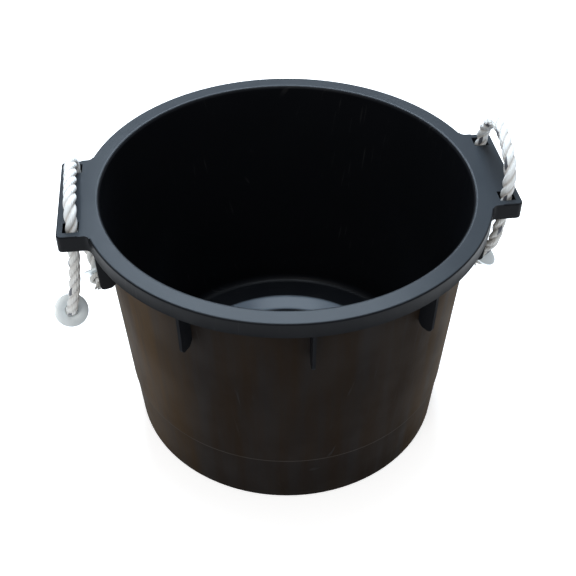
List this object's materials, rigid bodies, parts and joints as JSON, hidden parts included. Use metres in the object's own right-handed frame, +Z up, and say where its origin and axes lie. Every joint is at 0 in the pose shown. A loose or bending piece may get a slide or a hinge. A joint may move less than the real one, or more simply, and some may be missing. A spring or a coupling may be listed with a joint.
{
  "type": "mortar mixing tub",
  "caption": "Round black plastic mixing tub with a wide rim, two side lugs, and a white rope handle through each lug, held below by washers and knots.",
  "frame": {"origin": "centre of the base, on the ground", "axes": "+Z up, +X through the middle of the right lug as seen from the front, -Y towards the front"},
  "size_m": [0.5389, 0.4698, 0.3904],
  "materials": {
    "tub_plastic": "satin",
    "rope_white": "matte",
    "washer_zinc": "satin"
  },
  "bodies": {
    "tub": {"tub": "tub_plastic"},
    "left_handle": {"left_rope": "rope_white", "left_front_knot": "rope_white", "left_rear_knot": "rope_white"},
    "right_handle": {"right_rope": "rope_white", "right_front_knot": "rope_white", "right_rear_knot": "rope_white"},
    "left_front_washer": {"left_front_washer": "washer_zinc"},
    "left_rear_washer": {"left_rear_washer": "washer_zinc"},
    "right_front_washer": {"right_front_washer": "washer_zinc"},
    "right_rear_washer": {"right_rear_washer": "washer_zinc"}
  },
  "joints": [
    {"name": "left_handle_slide", "type": "slide", "parent": "tub", "child": "left_handle", "axis": [0.0896, 0, 0.996], "range_m": [0, 0.06]},
    {"name": "right_handle_slide", "type": "slide", "parent": "tub", "child": "right_handle", "axis": [0.0896, 0, 0.996], "range_m": [0, 0.045]},
    {"name": "left_front_washer_spin", "type": "hinge", "parent": "left_handle", "child": "left_front_washer", "pos_m": [-0.26091, -0.04224, 0.19797], "axis": [0.1366, -0.7173, 0.6832], "continuous": true},
    {"name": "left_rear_washer_spin", "type": "hinge", "parent": "left_handle", "child": "left_rear_washer", "pos_m": [-0.23488, 0.04184, 0.18118], "axis": [-0.1722, 0.7922, 0.5855], "continuous": true},
    {"name": "right_front_washer_spin", "type": "hinge", "parent": "right_handle", "child": "right_front_washer", "pos_m": [0.22844, -0.04481, 0.24034], "axis": [0.4929, -0.1643, 0.8544], "continuous": true},
    {"name": "right_rear_washer_spin", "type": "hinge", "parent": "right_handle", "child": "right_rear_washer", "pos_m": [0.2345, 0.0545, 0.168], "axis": [0, 0, 1], "continuous": true}
  ]
}
